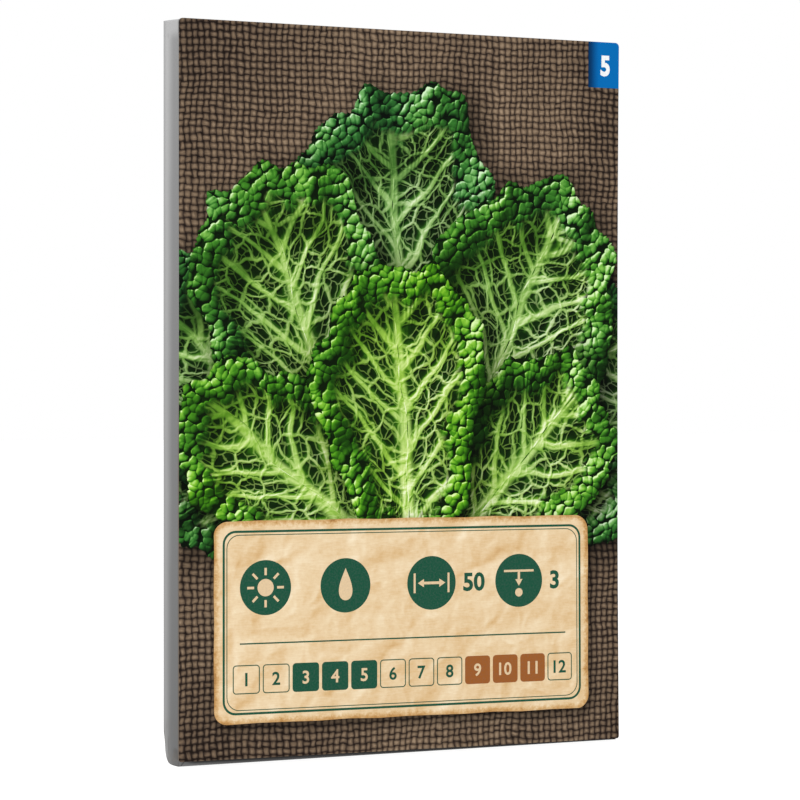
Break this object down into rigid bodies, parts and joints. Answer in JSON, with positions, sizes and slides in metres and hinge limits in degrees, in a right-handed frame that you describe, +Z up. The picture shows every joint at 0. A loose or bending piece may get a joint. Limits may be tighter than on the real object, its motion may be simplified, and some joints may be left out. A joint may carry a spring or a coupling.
{
  "type": "seed packet",
  "caption": "Slim upright seed packet: a printed card closes a shallow pressed tray that holds a sealed sachet of round seeds, with a label on its back.",
  "frame": {"origin": "middle of the foot, on the surface that the packet stands on", "axes": "+Z up along the height, +X to the right seen from the printed front, +Y from the printed front to the back"},
  "size_m": [0.108, 0.0106, 0.16],
  "materials": {
    "printed_card": "satin print",
    "grey_board": "smooth satin board",
    "label_paper": "matte paper",
    "sachet_paper": "glassine, semi-matte",
    "seed_coat": "dull seed coat"
  },
  "bodies": {
    "root": {"front_card": "printed_card", "tray": "grey_board", "back_label": "label_paper", "sachet_front": "sachet_paper", "sachet_back": "sachet_paper", "seed_01": "seed_coat", "seed_02": "seed_coat", "seed_03": "seed_coat", "seed_04": "seed_coat", "seed_05": "seed_coat", "seed_06": "seed_coat", "seed_07": "seed_coat", "seed_08": "seed_coat", "seed_09": "seed_coat", "seed_10": "seed_coat", "seed_11": "seed_coat", "seed_12": "seed_coat", "seed_13": "seed_coat", "seed_14": "seed_coat", "seed_15": "seed_coat", "seed_16": "seed_coat", "seed_17": "seed_coat", "seed_18": "seed_coat", "seed_19": "seed_coat", "seed_20": "seed_coat", "seed_21": "seed_coat", "seed_22": "seed_coat", "seed_23": "seed_coat", "seed_24": "seed_coat", "seed_25": "seed_coat", "seed_26": "seed_coat", "seed_27": "seed_coat", "seed_28": "seed_coat", "seed_29": "seed_coat", "seed_30": "seed_coat", "seed_31": "seed_coat", "seed_32": "seed_coat", "seed_33": "seed_coat", "seed_34": "seed_coat", "seed_35": "seed_coat", "seed_36": "seed_coat", "seed_37": "seed_coat", "seed_38": "seed_coat", "seed_39": "seed_coat", "seed_40": "seed_coat", "seed_41": "seed_coat", "seed_42": "seed_coat", "seed_43": "seed_coat", "seed_44": "seed_coat", "seed_45": "seed_coat", "seed_46": "seed_coat", "seed_47": "seed_coat", "seed_48": "seed_coat", "seed_49": "seed_coat", "seed_50": "seed_coat"}
  },
  "joints": []
}
